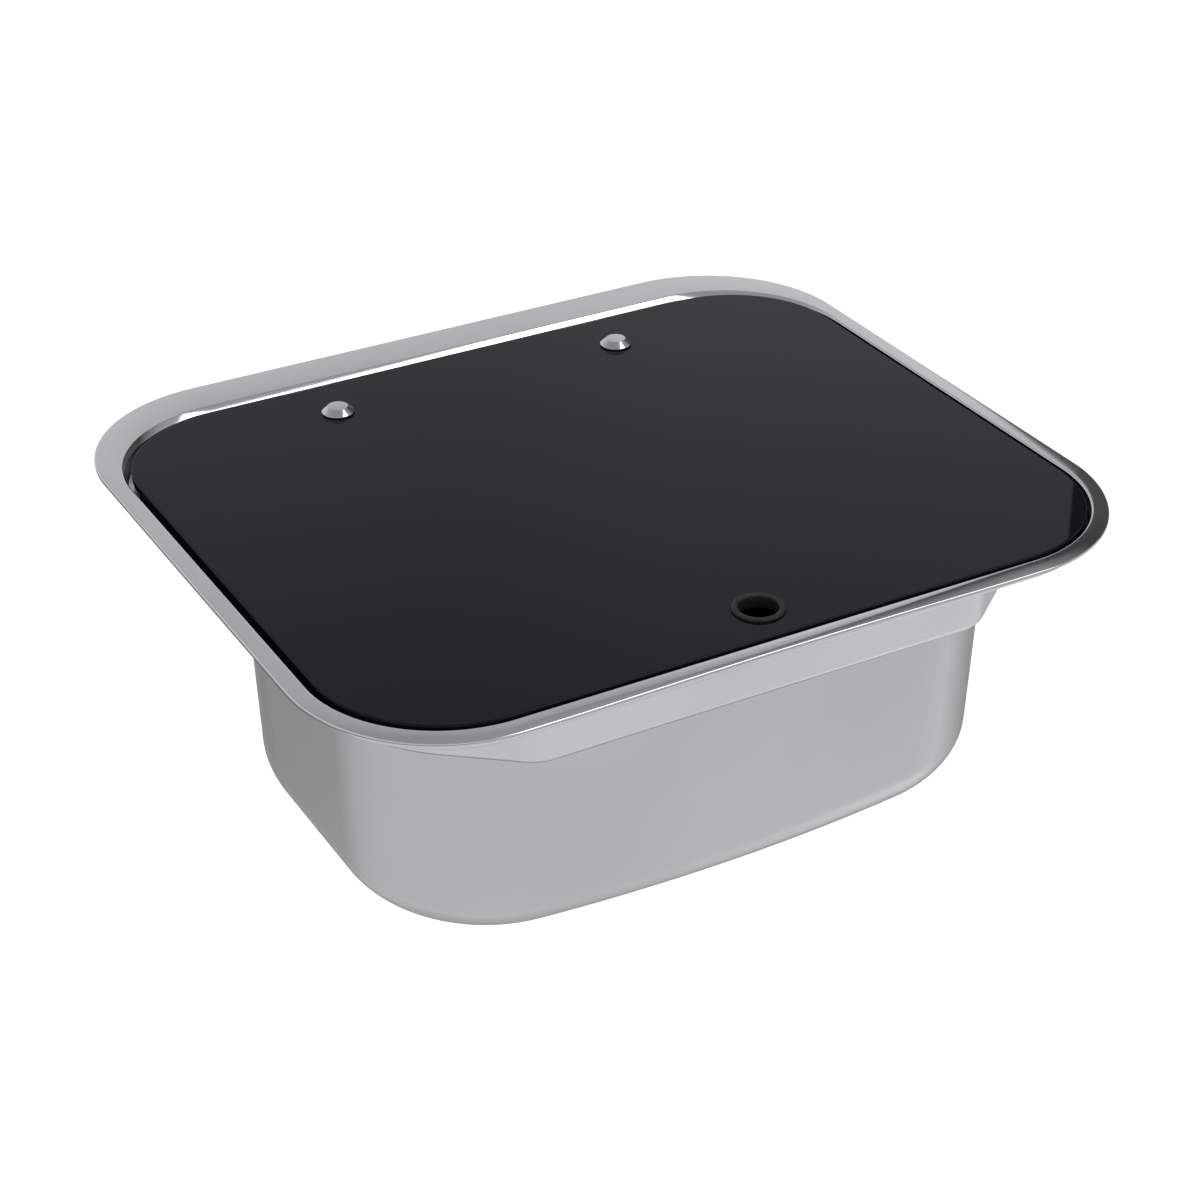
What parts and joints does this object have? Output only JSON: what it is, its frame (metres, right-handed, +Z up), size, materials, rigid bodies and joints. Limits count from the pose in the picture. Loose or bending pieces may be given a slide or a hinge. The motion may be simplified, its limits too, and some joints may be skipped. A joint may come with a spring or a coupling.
{
  "type": "caravan sink with glass lid",
  "caption": "Drop-in pressed steel caravan sink: rounded flange, stepped deep bowl, flush hinged black glass lid with finger hole, lift-out plug and side-outlet waste.",
  "frame": {"origin": "middle of the flange's lower edge, in the plane of the worktop", "axes": "+X to the right along the sink's length, -Y to the front edge with the finger hole, +Z up"},
  "size_m": [0.42, 0.37, 0.2167],
  "materials": {
    "sink_steel": "satin stainless steel",
    "hinge_steel": "plain stainless steel",
    "chrome": "polished chrome",
    "black_glass": "black tempered glass, polished edge",
    "black_rubber": "matt moulded rubber",
    "grey_foam": "closed-cell foam tape",
    "nylon": "natural nylon",
    "waste_plastic": "moulded black plastic"
  },
  "bodies": {
    "sink": {"sink_bowl": "sink_steel", "flange_seal": "grey_foam", "lid_seal": "black_rubber", "hinge_base_left": "hinge_steel", "hinge_base_right": "hinge_steel", "hinge_pin_left": "hinge_steel", "hinge_pin_right": "hinge_steel", "hinge_rivets": "hinge_steel", "upper_gasket": "black_rubber", "strainer": "sink_steel", "drain_screw": "hinge_steel", "lower_gasket": "black_rubber", "waste_body": "waste_plastic"},
    "lid": {"glass_lid": "black_glass", "finger_grommet": "black_rubber", "cap_screws": "chrome", "cap_washers": "black_rubber", "glass_bush_left": "nylon", "glass_bush_right": "nylon", "leaf_pad_left": "black_rubber", "leaf_pad_right": "black_rubber", "lid_leaf_left": "hinge_steel", "lid_leaf_right": "hinge_steel", "hinge_nuts": "hinge_steel"},
    "plug": {"plug_seal": "black_rubber", "plug_cap": "chrome", "plug_knob": "chrome"}
  },
  "joints": [
    {"name": "lid_hinge", "type": "hinge", "parent": "sink", "child": "lid", "pos_m": [0, 0.1559, -0.0016], "axis": [-1, 0, 0], "range_deg": [0, 90]},
    {"name": "plug_lift", "type": "slide", "parent": "sink", "child": "plug", "axis": [0, 0, 1], "range_m": [0, 0.04]}
  ]
}
